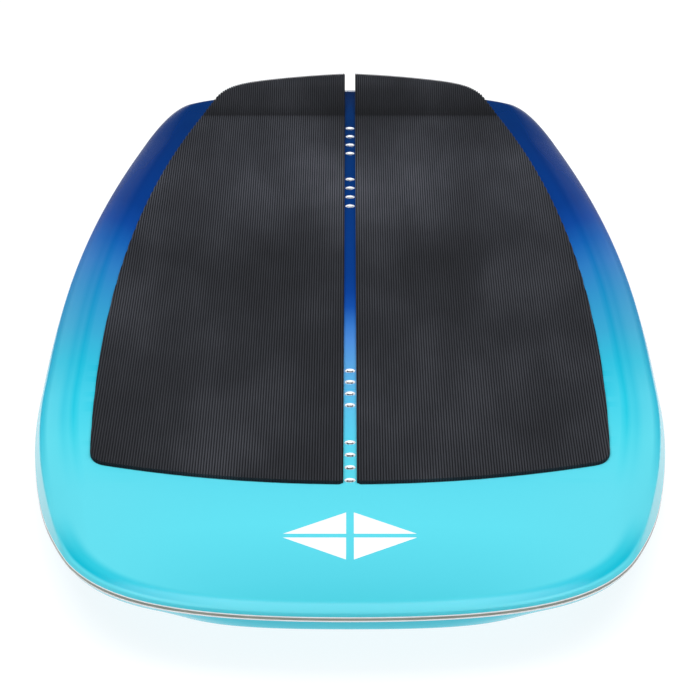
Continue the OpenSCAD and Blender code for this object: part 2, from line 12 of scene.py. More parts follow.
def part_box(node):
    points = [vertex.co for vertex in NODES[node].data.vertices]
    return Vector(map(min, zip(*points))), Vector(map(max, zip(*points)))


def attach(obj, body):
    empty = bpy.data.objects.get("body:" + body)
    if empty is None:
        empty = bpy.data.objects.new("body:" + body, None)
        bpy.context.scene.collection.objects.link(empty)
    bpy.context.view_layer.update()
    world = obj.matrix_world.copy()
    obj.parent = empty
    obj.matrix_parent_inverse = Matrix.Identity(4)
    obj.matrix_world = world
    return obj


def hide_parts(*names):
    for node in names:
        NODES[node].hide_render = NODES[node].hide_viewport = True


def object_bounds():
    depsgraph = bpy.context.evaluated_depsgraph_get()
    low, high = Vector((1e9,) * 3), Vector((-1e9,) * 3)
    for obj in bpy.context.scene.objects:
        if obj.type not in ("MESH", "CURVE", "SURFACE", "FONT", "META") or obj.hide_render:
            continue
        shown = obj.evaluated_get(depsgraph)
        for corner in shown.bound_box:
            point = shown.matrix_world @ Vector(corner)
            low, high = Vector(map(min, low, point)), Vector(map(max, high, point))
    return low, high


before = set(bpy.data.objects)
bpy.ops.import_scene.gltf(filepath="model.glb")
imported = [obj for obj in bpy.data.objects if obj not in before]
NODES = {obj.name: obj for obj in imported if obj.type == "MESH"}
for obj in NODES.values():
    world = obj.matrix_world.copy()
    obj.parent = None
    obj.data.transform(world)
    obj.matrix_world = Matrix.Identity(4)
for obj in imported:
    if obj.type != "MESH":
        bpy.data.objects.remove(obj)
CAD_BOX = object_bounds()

bl_info = {
    "name": "Kite foil board",
    "version": (1, 0, 0),
    "blender": (4, 5, 0),
    "location": "3D View > Sidebar > Foil board",
    "description": "Builds the finished pieces of a kite foil board round its frame",
    "category": "Object",
}

MM = 0.001


def linear(hex_colour):
    """The linear colour of an sRGB hex value."""
    parts = [int(hex_colour[i : i + 2], 16) / 255 for i in (0, 2, 4)]
    return [c / 12.92 if c <= 0.04045 else ((c + 0.055) / 1.055) ** 2.4 for c in parts]


def length(name, description, default, low=0.0):
    """A length property, in metres, from a default in millimetres."""
    return FloatProperty(name=name, description=description, default=default * MM, min=low, unit="LENGTH")


def colour(name, description, default):
    """A colour property, from an sRGB hex value."""
    return FloatVectorProperty(
        name=name, description=description, default=linear(default), subtype="COLOR", min=0, max=1
    )


# ---- Sizes and colours that a user would change ----


class HullSettings(bpy.types.PropertyGroup):
    crease_cut: length("Crease rounding", "Length of the soft rounding each side of the deck's crease", 6)
    edge_cut: length("Edge rounding", "Length of the rounding each side of the rail's crisp edge", 1.1)
    chine_cut: length("Chine rounding", "Length of the rounding each side of the lower chine", 4)
    panel_cut: length("Panel rounding", "Length of the rounding each side of the bottom panel's edge", 9)
    pinline: length("Pinline", "Height of each white line of the rail strip", 0.8)
    recess: length("Strip recess", "How deep the grey strip lies between its white lines", 0.12)
    deck_deep: colour("Deck, tail", "Lacquer where the fade begins on the centre line", "013a88")
    deck_aqua: colour("Deck, nose", "Lacquer at the nose", "5fdae9")
    rail_aqua: colour("Rail", "Lacquer beside the rail where the fade ends", "62d8e7")
    under_aqua: colour("Bottom", "Lacquer of the bottom where the fade ends", "3fc0d6")
    strip_grey: colour("Rail strip", "Paler tone of the rail strip", "979c92")
    # the same white also paints the painted highlight line across the tail
    mark_and_highlight_white: colour("Mark", "White of the mark on the nose", "fbfdfe")


class PadSettings(bpy.types.PropertyGroup):
    rib_pitch: length("Rib pitch", "Distance from rib to rib", 2.08, 0.0005)
    rib_top: length("Rib top", "Width of a rib's flat top", 1.05)
    groove_depth: length("Groove depth", "Depth of the grooves between ribs", 1.1)
    thickness: length("Sheet", "Thickness of the ribbed sheet", 3)
    rows: IntProperty(name="Rows", description="Rows of faces along the flat part", default=30, min=4)
    kick_rows: IntProperty(name="Kick rows", description="Rows of faces along the kick", default=16, min=4)
    rubber: colour("Rubber", "Middle tone of the ribbed sheet", "404248")
    foam: colour("Foam", "Middle tone of the kick wedges", "35363a")


class FittingSettings(bpy.types.PropertyGroup):
    thread_pitch: length("Thread pitch", "Pitch of the inserts' thread", 1)
    thread_depth: length("Thread depth", "Depth of the inserts' thread", 0.45)
    rim: length("Insert rim", "Rounding of an insert's outer edge", 0.12)
    sink: length("Countersink", "Depth of an insert's countersink", 0.75)
    track_bevel: length("Track bevel", "Rounding of the tracks' edges", 0.35)
    nut_bevel: length("Nut bevel", "Rounding of the nuts' edges", 0.4)
    steel: colour("Steel", "Paler tone of the inserts", "eceef0")
    brass: colour("Brass", "Paler tone of the slot nuts", "d0ab62")
    nylon: colour("Nylon", "Paler tone of the tracks", "26282b")
    plastic: colour("Plastic", "Paler tone of the vent", "2b2d31")
    vent_bevel: length("Vent bevel", "Rounding of the vent's edges", 0.3)


class StageSettings(bpy.types.PropertyGroup):
    distance: length("Camera distance", "How far the camera stands behind the origin", 2867.2)
    height: length("Camera height", "Height of the camera over the floor", 1119.4)
    tilt: FloatProperty(
        name="Tilt",
        description="How far the camera looks down",
        default=math.radians(21.219),
        unit="ROTATION",
    )
    lens: FloatProperty(name="Lens", description="Focal length", default=187.19, unit="CAMERA")
    paper: colour("Paper", "Paler tone of the floor", "848586")


# ---- Hull shape, in millimetres: the same sizes as the frame's ----

NOSE, TAIL = CAD_BOX[0].y / MM, CAD_BOX[1].y / MM
HALF_W = 247.5
SKIN = 2.0
STRIP_H = 3.6
STRIP_IN = 8.0
# how far the strip's white lines stand proud, and the rounding of the middle rings
PROUD, SOFT = 0.1, 9

# height of the deck at its lowest place, that place, and the radius of the deck's curve
THICK, LOWEST_Y, ROCKER_R = 46, 82, 35000
# how far the bottom lifts at each end, and over what length
NOSE_LIFT, NOSE_LIFT_L = 33, 380
TAIL_LIFT, TAIL_LIFT_L = 5, 140
# length over which the section at the sides turns into each end's
NOSE_BLEND, TAIL_BLEND = 242, 168

# the outline's corners: in from the side, along from the end, and direction in degrees
NOSE_CORNER = (49, 92.5, 66)
SHOULDER = (48, 151.5, 100.5)
TAIL_CORNER = (85.5, 42.5, 141.6)
WIDEST_Y = 435
# how far the curves reach out before and after them
NOSE_ROUND, SHOULDER_ROUND, TAIL_ROUND = (72, 37.5), 33, (21, 42.5)
SIDE_FRONT, SIDE_BACK = 159, (0.22, 0.462)
NOSE_FLAT, TAIL_FLAT = 0.59, 0.203

# the steep facet's height at the sides and at the nose, and the length over which it runs out
FACET, NOSE_FACET, FACET_FADE = 12, 2.2, 150
# the lower rail's tuck across the nose is smaller than at its corners, by this much over this length
FRONT_TUCK, FRONT_TUCK_L = 20, 26
# places of the middle rings of the bevel and the tuck, as shares of the width and the height
BEVEL_AT, TUCK_AT = (0.35, 0.52), (0.3, 0.45)


def ease(t):
    """A smooth step from 0 to 1."""
    t = min(1.0, max(0.0, t))
    return t * t * (3 - 2 * t)


def deck_z(y):
    """Height of the deck's flat part."""
    return THICK + (y - LOWEST_Y) ** 2 / (2 * ROCKER_R)


def bottom_z(y):
    """Height of the bottom's flat part."""
    at_nose = max(0, NOSE + NOSE_LIFT_L - y) / NOSE_LIFT_L
    at_tail = max(0, y - TAIL + TAIL_LIFT_L) / TAIL_LIFT_L
    return NOSE_LIFT * at_nose**2 + TAIL_LIFT * at_tail**2


def mixed(side, nose, tail, y):
    """A size that changes from the sides to the nose and the tail."""
    at_nose, at_tail = ease((NOSE + NOSE_BLEND - y) / NOSE_BLEND), ease((y - TAIL + TAIL_BLEND) / TAIL_BLEND)
    return side + (nose - side) * at_nose + (tail - side) * at_tail


def direction(degrees):
    return Vector((math.cos(math.radians(degrees)), math.sin(math.radians(degrees))))


def outline_corner(size, end, way):
    """Place and direction of a corner of the outline that lies towards an end of the board."""
    return Vector((HALF_W - size[0], end + way * size[1])), direction(size[2])


def outline():
    """The right half of the outline in plan, from the nose's middle to the tail's middle."""
    nose_mid, tail_mid, widest = Vector((0, NOSE)), Vector((0, TAIL)), Vector((HALF_W, NOSE + WIDEST_Y))
    nose, nose_way = outline_corner(NOSE_CORNER, NOSE, 1)
    shoulder, shoulder_way = outline_corner(SHOULDER, TAIL, -1)
    tail, tail_way = outline_corner(TAIL_CORNER, TAIL, -1)
    side = shoulder.y - widest.y
    # each curve's start, two handles, end and number of points
    curves = [
        (nose_mid, nose_mid + Vector((nose.x * NOSE_FLAT, 0)), nose - NOSE_ROUND[0] * nose_way, nose, 30),
        (nose, nose + NOSE_ROUND[1] * nose_way, widest - Vector((0, SIDE_FRONT)), widest, 44),
        (
            widest,
            widest + Vector((0, side * SIDE_BACK[0])),
            shoulder - side * SIDE_BACK[1] * shoulder_way,
            shoulder,
            36,
        ),
        (shoulder, shoulder + SHOULDER_ROUND * shoulder_way, tail - TAIL_ROUND[0] * tail_way, tail, 28),
        (tail, tail + TAIL_ROUND[1] * tail_way, tail_mid + Vector((tail.x * TAIL_FLAT, 0)), tail_mid, 24),
    ]
    points = []
    for curve in curves:
        points += [p.to_2d() for p in interpolate_bezier(*curve)][:-1]
    return points + [tail_mid]


OUTLINE = outline()


def inward(i):
    """The direction into the board at a point of the outline."""
    here = OUTLINE[i]
    before = OUTLINE[i - 1] if i else Vector((-OUTLINE[1].x, OUTLINE[1].y))
    after = OUTLINE[i + 1] if i < len(OUTLINE) - 1 else Vector((-OUTLINE[-2].x, OUTLINE[-2].y))
    way = ((here - before).normalized() + (after - here).normalized()).normalized()
    return Vector((-way.y, way.x))


INWARD = [inward(i) for i in range(len(OUTLINE))]


class Section:
    """The hull's cross-section at one point of the outline: corners as (inset, height)."""

    def __init__(self, i):
        self.point, self.inward, y = OUTLINE[i], INWARD[i], OUTLINE[i].y
        # the bevel, from its crease on the deck down to the crisp edge
        self.crease, drop, self.edge = mixed(28, 12, 9, y), mixed(8, 4, 2.5, y), mixed(3.6, 1.2, 3.6, y)
        bevel = self.edge + BEVEL_AT[0] * (self.crease - self.edge)
        # the steep facet, and the rail strip under it
        facet = FACET + (NOSE_FACET - FACET) * ease((NOSE + NOSE_BLEND - y) / FACET_FADE)
        self.rail_top = deck_z(y) - drop - facet
        self.rail_low = self.rail_top - STRIP_H
        # the tuck, the chine and the bottom panel's edge
        chine = mixed(12, 26, 12, y) - FRONT_TUCK * ease((NOSE + FRONT_TUCK_L - y) / FRONT_TUCK_L)
        chine_h, panel = mixed(9, 2, 9, y), mixed(40, 34, 18, y)
        tuck = TUCK_AT[0] * chine
        tuck_foot = bottom_z(self.y_at(tuck)) + chine_h
        low = (1 - TUCK_AT[1]) * self.rail_low + TUCK_AT[1] * tuck_foot
        self.deck = [
            (self.crease, deck_z(self.y_at(self.crease))),
            (bevel, deck_z(self.y_at(bevel)) - BEVEL_AT[1] * drop),
            (self.edge, deck_z(y) - drop),
            (0, self.rail_top),
        ]
        self.bottom = [
            (0, self.rail_low),
            (tuck, low),
            (chine, bottom_z(self.y_at(chine)) + chine_h),
            (panel, bottom_z(self.y_at(panel))),
        ]

    def y_at(self, inset):
        return self.point.y + inset * self.inward.y

    def place(self, inset, z):
        """The 3-D place, in metres, of a point of the section."""
        p = self.point + inset * self.inward
        return Vector((p.x, p.y, z)) * MM


SECTIONS = [Section(i) for i in range(len(OUTLINE))]


def rounded(corners, cuts, steps=5):
    """The corners as a line whose inner corners are curves; cuts are the lengths taken off each side."""
    corners = [Vector(c) for c in corners]
    line = [corners[0]]
    for before, corner, after, cut in zip(corners, corners[1:], corners[2:], cuts):
        start = corner + (before - corner).normalized() * min(cut, 0.48 * (before - corner).length)
        end = corner + (after - corner).normalized() * min(cut, 0.48 * (after - corner).length)
        curve = interpolate_bezier(start, start.lerp(corner, 0.66), end.lerp(corner, 0.66), end, steps)
        line += [p.to_2d() for p in curve]
    return line + [corners[-1]]


def hull_shell(lines):
    """Rings round the hull, bridged to each other, from one line of (inset, height) points a section."""
    bm = bmesh.new()
    inset = bm.verts.layers.float.new("rail_inset")
    bands, last = [], len(OUTLINE) - 1
    for k in range(len(lines[0])):
        right = [s.place(*line[k]) for s, line in zip(SECTIONS, lines)]
        right[0].x = right[last].x = 0
        left = [Vector((-p.x, p.y, p.z)) for p in right[1:last][::-1]]
        ring = [bm.verts.new(p) for p in right + left]
        for i, v in enumerate(ring):
            v[inset] = lines[min(i, 2 * last - i)][k][0]
        edges = [bm.edges.new(pair) for pair in zip(ring, ring[1:] + ring[:1])]
        bands.append((ring, edges))
    for (_, above), (_, below) in zip(bands, bands[1:]):
        bmesh.ops.bridge_loops(bm, edges=above + below)
    return bm, bands


def cap(bm, band):
    """Closes a ring with strips from side to side."""
    ring, edges = band
    bmesh.ops.contextual_create(bm, geom=edges)
    half = len(ring) // 2
    for i in range(1, half):
        bmesh.ops.connect_vert_pair(bm, verts=[ring[i], ring[-i]])


# ---- Small tools ----


def cutter(bm, name):
    """A hidden object that a Boolean takes away from a piece."""
    bmesh.ops.recalc_face_normals(bm, faces=bm.faces)
    mesh = bpy.data.meshes.new(name)
    bm.to_mesh(mesh)
    bm.free()
    made = bpy.data.objects.new(name, mesh)
    bpy.context.collection.objects.link(made)
    return made


def cut(piece, tool):
    """Takes the tool away from the piece, and removes the tool."""
    change = piece.modifiers.new("Cut", "BOOLEAN")
    change.operation, change.solver, change.object = "DIFFERENCE", "EXACT", tool
    settle(piece)
    mesh = tool.data
    bpy.data.objects.remove(tool)
    bpy.data.meshes.remove(mesh)


def settle(piece):
    """Applies the piece's modifiers."""
    graph = bpy.context.evaluated_depsgraph_get()
    mesh = bpy.data.meshes.new_from_object(piece.evaluated_get(graph))
    old = piece.data
    piece.modifiers.clear()
    piece.data = mesh
    bpy.data.meshes.remove(old)


def finish_piece(bm, name, materials, body="board", stands_for=None, sharp=35):
    """Makes the object of a finished mesh, and says what it rides on and its node."""
    mesh = bpy.data.meshes.new(name)
    bm.to_mesh(mesh)
    bm.free()
    piece = bpy.data.objects.new(name, mesh)
    bpy.context.collection.objects.link(piece)
    for material in materials:
        mesh.materials.append(material)
    shade(piece, sharp)
    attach(piece, body)
    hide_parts(*(stands_for or [name.removesuffix("_finish")]))
    return piece


def shade(piece, sharp):
    """Smooth shading with sharp edges over an angle in degrees."""
    piece.data.shade_smooth()
    piece.data.set_sharp_from_angle(angle=math.radians(sharp))


def merged_copy(node):
    """A bmesh of a frame node's mesh with its loose triangles merged and its flat faces joined."""
    bm = bmesh.new()
    bm.from_mesh(NODES[node].data)
    bmesh.ops.remove_doubles(bm, verts=bm.verts, dist=0.00001)
    bmesh.ops.dissolve_limit(bm, angle_limit=math.radians(1), verts=bm.verts, edges=bm.edges)
    return bm


def bevel_edges(bm, width, over=30, segments=2):
    """Rounds the edges that turn by more than an angle."""
    edges = [e for e in bm.edges if len(e.link_faces) == 2 and e.calc_face_angle() > math.radians(over)]
    bmesh.ops.bevel(
        bm,
        geom=edges,
        offset=width,
        offset_type="OFFSET",
        segments=segments,
        profile=0.5,
        affect="EDGES",
        clamp_overlap=True,
        material=-1,
    )


# ---- Materials ----


def add(tree, kind, inputs=None, **settings):
    """Adds a node, sets its properties, and sets or links its inputs."""
    made = tree.nodes.new(kind)
    for name, value in settings.items():
        setattr(made, name, value)
    for key, value in (inputs or {}).items():
        if isinstance(value, bpy.types.NodeSocket):
            tree.links.new(value, made.inputs[key])
        else:
            made.inputs[key].default_value = value
    return made


def new_material(name, look, **shader):
    """A material whose shader has the given values, with its colour and bump from look(tree)."""
    material = bpy.data.materials.new(name)
    material.use_nodes = True
    tree = material.node_tree
    tree.nodes.clear()
    links = look(tree)
    inputs = {key.replace("_", " "): value for key, value in shader.items()}
    surface = add(tree, "ShaderNodeBsdfPrincipled", {**inputs, **links})
    add(tree, "ShaderNodeOutputMaterial", {"Surface": surface.outputs[0]})
    return material


def ramp(tree, factor, stops, interpolation="LINEAR"):
    """A colour ramp from (place, colour) stops: a colour is an sRGB hex value or a colour property."""
    made = add(tree, "ShaderNodeValToRGB", {0: factor})
    made.color_ramp.interpolation = interpolation
    elements = made.color_ramp.elements
    while len(elements) < len(stops):
        elements.new(0.5)
    for element, (place, value) in zip(elements, stops):
        element.position = place
        element.color = (*(linear(value) if isinstance(value, str) else value), 1)
    return made.outputs[0]


def reckon(tree, operation, *values):
    """The result of a sum on sockets and numbers."""
    return add(tree, "ShaderNodeMath", dict(enumerate(values)), operation=operation).outputs[0]


def over_range(tree, value, low, high, interpolation="LINEAR"):
    """A value's share of the way from low to high, held between 0 and 1."""
    inputs = {0: value, 1: low, 2: high, 3: 0.0, 4: 1.0}
    return add(tree, "ShaderNodeMapRange", inputs, interpolation_type=interpolation).outputs[0]


def mix(tree, factor, a, b, blend="MIX"):
    """Two colours mixed by a factor."""
    inputs = {"Factor": factor, "A": a, "B": b}
    return add(tree, "ShaderNodeMix", inputs, data_type="RGBA", blend_type=blend).outputs["Result"]


def bumps(tree, height, strength, distance):
    """A normal from a height."""
    inputs = {"Height": height, "Strength": strength, "Distance": distance}
    return add(tree, "ShaderNodeBump", inputs).outputs[0]


def object_place(tree):
    return add(tree, "ShaderNodeTexCoord").outputs["Object"]


def wave(tree, place, scale, **settings):
    return add(tree, "ShaderNodeTexWave", {"Vector": place, "Scale": scale}, **settings).outputs["Fac"]


def noise(tree, place, scale, detail):
    return add(tree, "ShaderNodeTexNoise", {"Vector": place, "Scale": scale, "Detail": detail}).outputs[0]


# the fade's places, in metres: half its width across, how far it arches back at the sides, where it
# begins on the centre line, and how far behind the nose that is counted from
FADE_ACROSS, FADE_ARCH, FADE_START, FADE_REST = 0.205, 0.170, 0.080, 0.389
# the fade's ramps run from well behind it, at -1.5 of its length, to the nose, at 1.5
RAMP_ENDS = 1.5


def lacquer(tree, centre, rail):
    """Airbrushed fade along the board, arched across it, that ends later along the rails."""
    place = object_place(tree)
    axes = add(tree, "ShaderNodeSeparateXYZ", {0: place})
    across = reckon(tree, "DIVIDE", axes.outputs[0], FADE_ACROSS)
    arch = reckon(tree, "MULTIPLY", across, across)
    start = reckon(tree, "MULTIPLY_ADD", arch, FADE_ARCH, FADE_START)
    gone = reckon(tree, "SUBTRACT", start, axes.outputs[1])
    whole = reckon(tree, "ADD", start, FADE_REST)
    share = reckon(tree, "DIVIDE", gone, whole)
    along = over_range(tree, share, -RAMP_ENDS, RAMP_ENDS)
    side = over_range(tree, arch, 0.05, 0.95, "SMOOTHSTEP")
    return place, axes, mix(tree, side, ramp(tree, along, centre), ramp(tree, along, rail))


def fade(stops, own):
    """Ramp stops from (share of the fade, sRGB hex) stops, with the user's own colours at some shares."""
    return [((share + RAMP_ENDS) / (2 * RAMP_ENDS), own.get(share, value)) for share, value in stops]


CENTRE_FADE = [
    (-1.2, "163266"),
    (-0.9, "053067"),
    (-0.5, "003476"),
    (0.0, "013a88"),
    (0.1, "074095"),
    (0.18, "1850a9"),
    (0.26, "4176c7"),
    (0.34, "5f8dd9"),
    (0.46, "70a5df"),
    (0.68, "73c7eb"),
    (0.8, "65d3ec"),
    (0.95, "5cd5e6"),
    (1.15, "5fdae9"),
    (1.35, "56d0e0"),
    (1.5, "48c7d6"),
]
RAIL_FADE = [
    (-0.7, "002f6c"),
    (-0.35, "00337a"),
    (-0.05, "003b8a"),
    (0.05, "0c489c"),
    (0.14, "1c63b2"),
    (0.24, "3a7fc2"),
    (0.36, "3f97cb"),
    (0.49, "48acd3"),
    (0.61, "42c4de"),
    (0.72, "5ad4e8"),
    (0.85, "62dbea"),
    (1.0, "62d8e7"),
    (1.5, "60d6e4"),
]
UNDER_FADE = [(-1.0, "123c78"), (0.0, "0e4a98"), (0.5, "3a9acb"), (1.0, "3fc0d6"), (1.5, "49c3d5")]

# painted reflection streaks and painted shade beside the rail, by share of the width set on the next line, in
# from the rail
RAIL_REFLECTION_W = 50.0
RAIL_PAINTED_REFLECTIONS = [
    (0.0, "ffffff"),
    (0.07, "ffffff"),
    (0.09, "7ce0ec"),
    (0.14, "a8ecf3"),
    (0.2, "ffffff"),
    (0.34, "f0fbfc"),
    (0.44, "b4f2f7"),
    (0.52, "c8f6f9"),
    (0.6, "6eecf2"),
    (0.67, "a8f3f7"),
    (0.76, "ffffff"),
]
# painted shade for the bevel round the nose's corners, by share in from the rail
CORNER_PAINTED_SHADE = [(0.05, "ffffff"), (0.09, "4adde8"), (0.2, "82e9f0"), (0.36, "ffffff")]

# the mark, in metres: place of its middle, half width, slant, and half widths of its two lanes
MARK_Y, MARK_W, MARK_SLANT, LANE_X, LANE_Y = -0.482, 0.052, 1.15, 0.0028, 0.0034
# the painted highlight line across the tail, on the crease of its bevel: in from the tail, half thickness and
# half length
HIGHLIGHT_IN, HIGHLIGHT_THICK, HIGHLIGHT_LONG = 0.012, 0.0009, 0.06


def polish(tree, place):
    """Faint polish waves, about 40 mm apart."""
    return bumps(tree, noise(tree, place, 25.0, 1.0), 0.02, 0.002)


def mark_and_highlight_mask(tree, x, y):
    """White parts of the deck: a rhombus of four panels on the nose, and a thin painted highlight line across
    the tail.
    """
    wide = reckon(tree, "ABSOLUTE", x)
    long = reckon(tree, "ABSOLUTE", reckon(tree, "ADD", y, -MARK_Y))
    reach = reckon(tree, "ADD", wide, reckon(tree, "MULTIPLY", long, MARK_SLANT))
    inside = reckon(tree, "LESS_THAN", reach, MARK_W)
    lane_x = reckon(tree, "GREATER_THAN", wide, LANE_X)
    lane_y = reckon(tree, "GREATER_THAN", long, LANE_Y)
    rhombus = reckon(tree, "MULTIPLY", reckon(tree, "MULTIPLY", lane_x, lane_y), inside)
    # a painted highlight: a thin white line across the tail where its bevel's crease catches the light
    from_highlight = reckon(tree, "ABSOLUTE", reckon(tree, "ADD", y, -(TAIL * MM - HIGHLIGHT_IN)))
    on_highlight = reckon(tree, "LESS_THAN", from_highlight, HIGHLIGHT_THICK)
    highlight_dash = reckon(tree, "MULTIPLY", on_highlight, reckon(tree, "LESS_THAN", wide, HIGHLIGHT_LONG))
    return reckon(tree, "MAXIMUM", rhombus, highlight_dash)


def deck_look(tree):
    """The fade, painted reflection streaks and shade beside the rail, painted shade round the nose's corners,
    the white mark, and a painted highlight line across the tail.
    """
    hull = bpy.context.scene.board_hull
    centre = fade(CENTRE_FADE, {0.0: hull.deck_deep, 1.15: hull.deck_aqua})
    place, axes, paint = lacquer(tree, centre, fade(RAIL_FADE, {1.0: hull.rail_aqua}))
    x, y = axes.outputs[0], axes.outputs[1]
    inset = add(tree, "ShaderNodeAttribute", attribute_name="rail_inset").outputs["Fac"]
    inward_share = over_range(tree, inset, 0.0, RAIL_REFLECTION_W)
    # the painted reflection streaks and shade run along the sides and fade out before the nose
    behind_nose = over_range(tree, y, -0.42, -0.22, "SMOOTHSTEP")
    # multiplies painted reflection streaks and painted shade over the lacquer beside the rail
    paint = mix(tree, behind_nose, paint, ramp(tree, inward_share, RAIL_PAINTED_REFLECTIONS), "MULTIPLY")
    # painted shade on the bevel round the nose's corners, darker where the bevel turns away from the light
    at_side = over_range(tree, reckon(tree, "ABSOLUTE", x), 0.07, 0.17, "SMOOTHSTEP")
    at_front = over_range(tree, y, -0.42, -0.52, "SMOOTHSTEP")
    at_corner = reckon(tree, "MULTIPLY", at_side, at_front)
    paint = mix(tree, at_corner, paint, ramp(tree, inward_share, CORNER_PAINTED_SHADE, "EASE"), "MULTIPLY")
    # the white mark on the nose, and the painted highlight line across the tail
    marked = mix(tree, mark_and_highlight_mask(tree, x, y), paint, (*hull.mark_and_highlight_white, 1))
    return {"Base Color": marked, "Normal": polish(tree, place)}


def bottom_look(tree):
    """The same fade on the bottom, a little duller."""
    stops = fade(UNDER_FADE, {1.0: bpy.context.scene.board_hull.under_aqua})
    place, _, paint = lacquer(tree, stops, stops)
    return {"Base Color": paint, "Normal": polish(tree, place)}


def mottled(low, high, size, bump_size=None, bump=0.1, depth=0.0002, detail=3.0):
    """A look that wanders between two colours over size mm, with grain bumps of bump_size mm."""

    def look(tree):
        place = object_place(tree)
        cloud = noise(tree, place, 1 / (size * MM), detail)
        links = {"Base Color": ramp(tree, cloud, [(0.3, low), (0.7, high)])}
        if bump_size:
            links["Normal"] = bumps(tree, noise(tree, place, 1 / (bump_size * MM), 2.0), bump, depth)
        return links

    return look


# painted light and shade along the pad sheet, by share of the length set below, in metres: a painted sheen
# before the kick, a painted shadow in the fold, and painted shade on the kick's face
PAD_SHADE_END = 0.6
PAD_PAINTED_SHADE = [
    (0.0, "c8c8c8"),
    (0.2, "c2c2c2"),
    (0.5, "ffffff"),
    (0.6, "fcfcfc"),
    (0.82, "d7d7d7"),
    (0.85, "c8c8c8"),
    (0.858, "767676"),
    (0.872, "8c8c8c"),
    (0.9, "a2a2a2"),
    (0.95, "b4b4b4"),
    (0.975, "d0d0d0"),
]


def rubber_look(tree):
    """Moulded EVA: nearly black, with broad lighter patches of painted sheen, a fine cell grain of 0.4 mm,
    and painted light and shade along the board.
    """
    place = object_place(tree)
    stretched = add(tree, "ShaderNodeMapping", {"Vector": place, "Scale": (1.0, 0.35, 1.0)}).outputs[0]
    # broad lighter patches of painted sheen
    patches = noise(tree, stretched, 14.0, 3.0)
    grain = noise(tree, place, 2500.0, 1.0)
    both = reckon(tree, "MULTIPLY_ADD", grain, 0.35, patches)
    middle = bpy.context.scene.board_pads.rubber
    patchy_sheen = ramp(tree, both, [(0.42, "35363b"), (0.66, middle), (0.9, "53555c")])
    y = add(tree, "ShaderNodeSeparateXYZ", {0: place}).outputs[1]
    # multiplies the painted sheen, shadow and shade along the board over the sheet's colour
    shaded_sheet = mix(tree, 1.0, patchy_sheen, ramp(tree, over_range(tree, y, 0.0, PAD_SHADE_END), PAD_PAINTED_SHADE), "MULTIPLY")
    return {"Base Color": shaded_sheet, "Normal": bumps(tree, grain, 0.25, 0.0001)}


def foam_look(tree):
    """Cut EVA foam: cells of 0.8 mm and the glue lines of 5 mm layers."""
    place = object_place(tree)
    cells = add(tree, "ShaderNodeTexVoronoi", {"Vector": place, "Scale": 1250.0}).outputs["Distance"]
    layers = wave(tree, place, 31.8, bands_direction="Z")
    middle = bpy.context.scene.board_pads.foam
    lines = ramp(tree, layers, [(0.0, "26272a"), (0.06, middle), (1.0, "3b3c40")])
    return {"Base Color": lines, "Normal": bumps(tree, cells, 0.5, 0.0002)}


def beads_look(tree):
    """Expanded foam: white beads of 3 mm that meet in flat faces."""
    place = object_place(tree)
    beads = add(tree, "ShaderNodeTexVoronoi", {"Vector": place, "Scale": 333.0}).outputs["Distance"]
    tone = ramp(tree, beads, [(0.0, "f4f2ea"), (0.7, "e2dfd3")])
    return {"Base Color": tone, "Normal": bumps(tree, beads, 0.6, 0.0006)}


def wood_look(tree):
    """Sawn paulownia: pale straw with darker growth rings about 6 mm apart that run along the board."""
    place = object_place(tree)
    drawn = add(tree, "ShaderNodeMapping", {"Vector": place, "Scale": (1.0, 0.05, 1.0)}).outputs[0]
    inputs = {"Vector": drawn, "Scale": 26.5, "Distortion": 6.0, "Detail": 3.0}
    rings = add(tree, "ShaderNodeTexWave", inputs, bands_direction="Z").outputs["Fac"]
    tone = ramp(tree, rings, [(0.0, "b98f58"), (0.5, "cfa873"), (1.0, "d9b785")])
    return {"Base Color": tone, "Normal": bumps(tree, rings, 0.2, 0.0002)}


def turned_look(tree):
    """Turned metal: fine tool rings 0.25 mm apart round each insert, on the piece's own coordinates."""
    place = add(tree, "ShaderNodeTexCoord").outputs["UV"]
    rings = wave(tree, place, 1270.0, wave_type="RINGS")
    tone = ramp(tree, rings, [(0.0, "d9dbde"), (1.0, bpy.context.scene.board_fittings.steel)])
    return {"Base Color": tone, "Normal": bumps(tree, rings, 0.15, 0.00005)}


def brass_look(tree):
    """Milled brass: tool lines 0.5 mm apart and a little tarnish."""
    place = object_place(tree)
    lines = wave(tree, place, 318.0, bands_direction="Y")
    cloud = noise(tree, place, 150.0, 3.0)
    tone = ramp(tree, cloud, [(0.35, "b58e48"), (0.65, bpy.context.scene.board_fittings.brass)])
    return {"Base Color": tone, "Normal": bumps(tree, lines, 0.1, 0.00005)}


MATERIALS = {}


